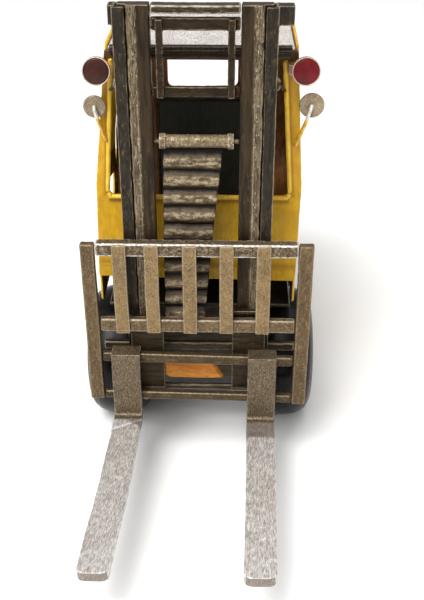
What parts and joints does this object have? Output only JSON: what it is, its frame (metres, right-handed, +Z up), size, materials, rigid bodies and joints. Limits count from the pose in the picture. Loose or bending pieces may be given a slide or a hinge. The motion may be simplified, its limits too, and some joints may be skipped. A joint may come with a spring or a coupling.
{
  "type": "toy forklift",
  "caption": "Handmade metal toy forklift with a telescoping mast, a sliding fork carriage with a slatted load backrest, an open cab and balloon tyres.",
  "frame": {"origin": "bottom centre of the toy's bounding box, on the surface its wheels stand on", "axes": "+Z up, the forks point along -Y, +X to the right of somebody facing the forks"},
  "size_m": [0.1084, 0.268, 0.2095],
  "materials": {
    "yellow_paint": "antiqued yellow paint over sheet metal, satin",
    "wheel_paint": "antiqued yellow paint, satin",
    "dark_iron": "dark brown patina with bare worn edges",
    "worn_iron": "brown-grey speckled patina, rubbed bright on the edges",
    "fork_steel": "hammered bright steel with brown patina in the hollows",
    "bare_steel": "worn bare steel",
    "roof_silver": "speckled silver-white sheet",
    "black_green": "near-black green paint, satin",
    "tyre_black": "glossy black",
    "red_lens": "deep red, glossy"
  },
  "bodies": {
    "truck": {"axle_front": "bare_steel", "axle_rear": "bare_steel", "cab_floor": "dark_iron", "cab_rear_wall": "yellow_paint", "cab_side_left": "yellow_paint", "cab_side_right": "yellow_paint", "chassis_box": "dark_iron", "counterweight": "yellow_paint", "dashboard": "black_green", "engine_cover": "yellow_paint", "front_cowl": "yellow_paint", "lamp_cup_left": "bare_steel", "lamp_cup_right": "bare_steel", "lamp_lens_left": "red_lens", "lamp_lens_right": "red_lens", "mast_lower_crossmember": "dark_iron", "mast_outer_rail_left": "dark_iron", "mast_outer_rail_right": "dark_iron", "mast_tie_left": "bare_steel", "mast_tie_right": "bare_steel", "mirror_left": "bare_steel", "mirror_right": "bare_steel", "rear_side_left": "yellow_paint", "rear_side_right": "yellow_paint", "roof_front_roll": "dark_iron", "roof_panel": "roof_silver", "seat_back": "black_green", "seat_base": "black_green"},
    "inner_mast": {"mast_inner_rail_left": "dark_iron", "mast_inner_rail_right": "dark_iron", "mast_top_crossbar": "dark_iron", "mast_ladder": "dark_iron", "mast_foot_bar": "dark_iron", "roller_shaft": "bare_steel", "ribbed_belt": "dark_iron"},
    "carriage": {"carriage_post_left": "worn_iron", "carriage_post_right": "worn_iron", "backrest_top_bar": "worn_iron", "backrest_lower_bar": "worn_iron", "fork_bar_upper": "worn_iron", "fork_bar_lower": "worn_iron", "slide_bracket_left": "dark_iron", "slide_bracket_right": "dark_iron", "backrest_slat_1": "worn_iron", "backrest_slat_2": "worn_iron", "backrest_slat_3": "worn_iron", "backrest_slat_4": "worn_iron", "backrest_slat_5": "worn_iron"},
    "roller": {"belt_roller": "dark_iron"},
    "left_fork": {"fork_left": "fork_steel"},
    "right_fork": {"fork_right": "fork_steel"},
    "steering": {"steering_wheel": "black_green"},
    "front_wheel_left": {"tyre_front_left": "tyre_black", "rim_front_left": "wheel_paint"},
    "front_wheel_right": {"tyre_front_right": "tyre_black", "rim_front_right": "wheel_paint"},
    "rear_wheel_left": {"tyre_rear_left": "tyre_black", "rim_rear_left": "wheel_paint"},
    "rear_wheel_right": {"tyre_rear_right": "tyre_black", "rim_rear_right": "wheel_paint"}
  },
  "joints": [
    {"name": "inner_mast_lift", "type": "slide", "parent": "truck", "child": "inner_mast", "axis": [0, 0, 1], "range_m": [0, 0.06]},
    {"name": "carriage_lift", "type": "slide", "parent": "inner_mast", "child": "carriage", "axis": [0, 0, 1], "range_m": [-0.022, 0.08]},
    {"name": "fork_left_shift", "type": "slide", "parent": "carriage", "child": "left_fork", "axis": [0.9998, 0, -0.021], "range_m": [-0.004, 0.018]},
    {"name": "fork_right_shift", "type": "slide", "parent": "carriage", "child": "right_fork", "axis": [0.9998, 0, -0.021], "range_m": [-0.018, 0.0072]},
    {"name": "belt_roller_spin", "type": "hinge", "parent": "inner_mast", "child": "roller", "pos_m": [0, -0.026, 0.156], "axis": [1, 0, 0], "continuous": true},
    {"name": "steering_wheel_spin", "type": "hinge", "parent": "truck", "child": "steering", "pos_m": [-0.003, 0.00459, 0.12948], "axis": [0, 0.6157, 0.788], "continuous": true},
    {"name": "front_wheel_left_spin", "type": "hinge", "parent": "truck", "child": "front_wheel_left", "pos_m": [-0.039, 0.0105, 0.032], "axis": [1, 0, 0], "continuous": true},
    {"name": "front_wheel_right_spin", "type": "hinge", "parent": "truck", "child": "front_wheel_right", "pos_m": [0.039, 0.0105, 0.032], "axis": [1, 0, 0], "continuous": true},
    {"name": "rear_wheel_left_spin", "type": "hinge", "parent": "truck", "child": "rear_wheel_left", "pos_m": [-0.0365, 0.086, 0.026], "axis": [1, 0, 0], "continuous": true},
    {"name": "rear_wheel_right_spin", "type": "hinge", "parent": "truck", "child": "rear_wheel_right", "pos_m": [0.0365, 0.086, 0.026], "axis": [1, 0, 0], "continuous": true}
  ]
}
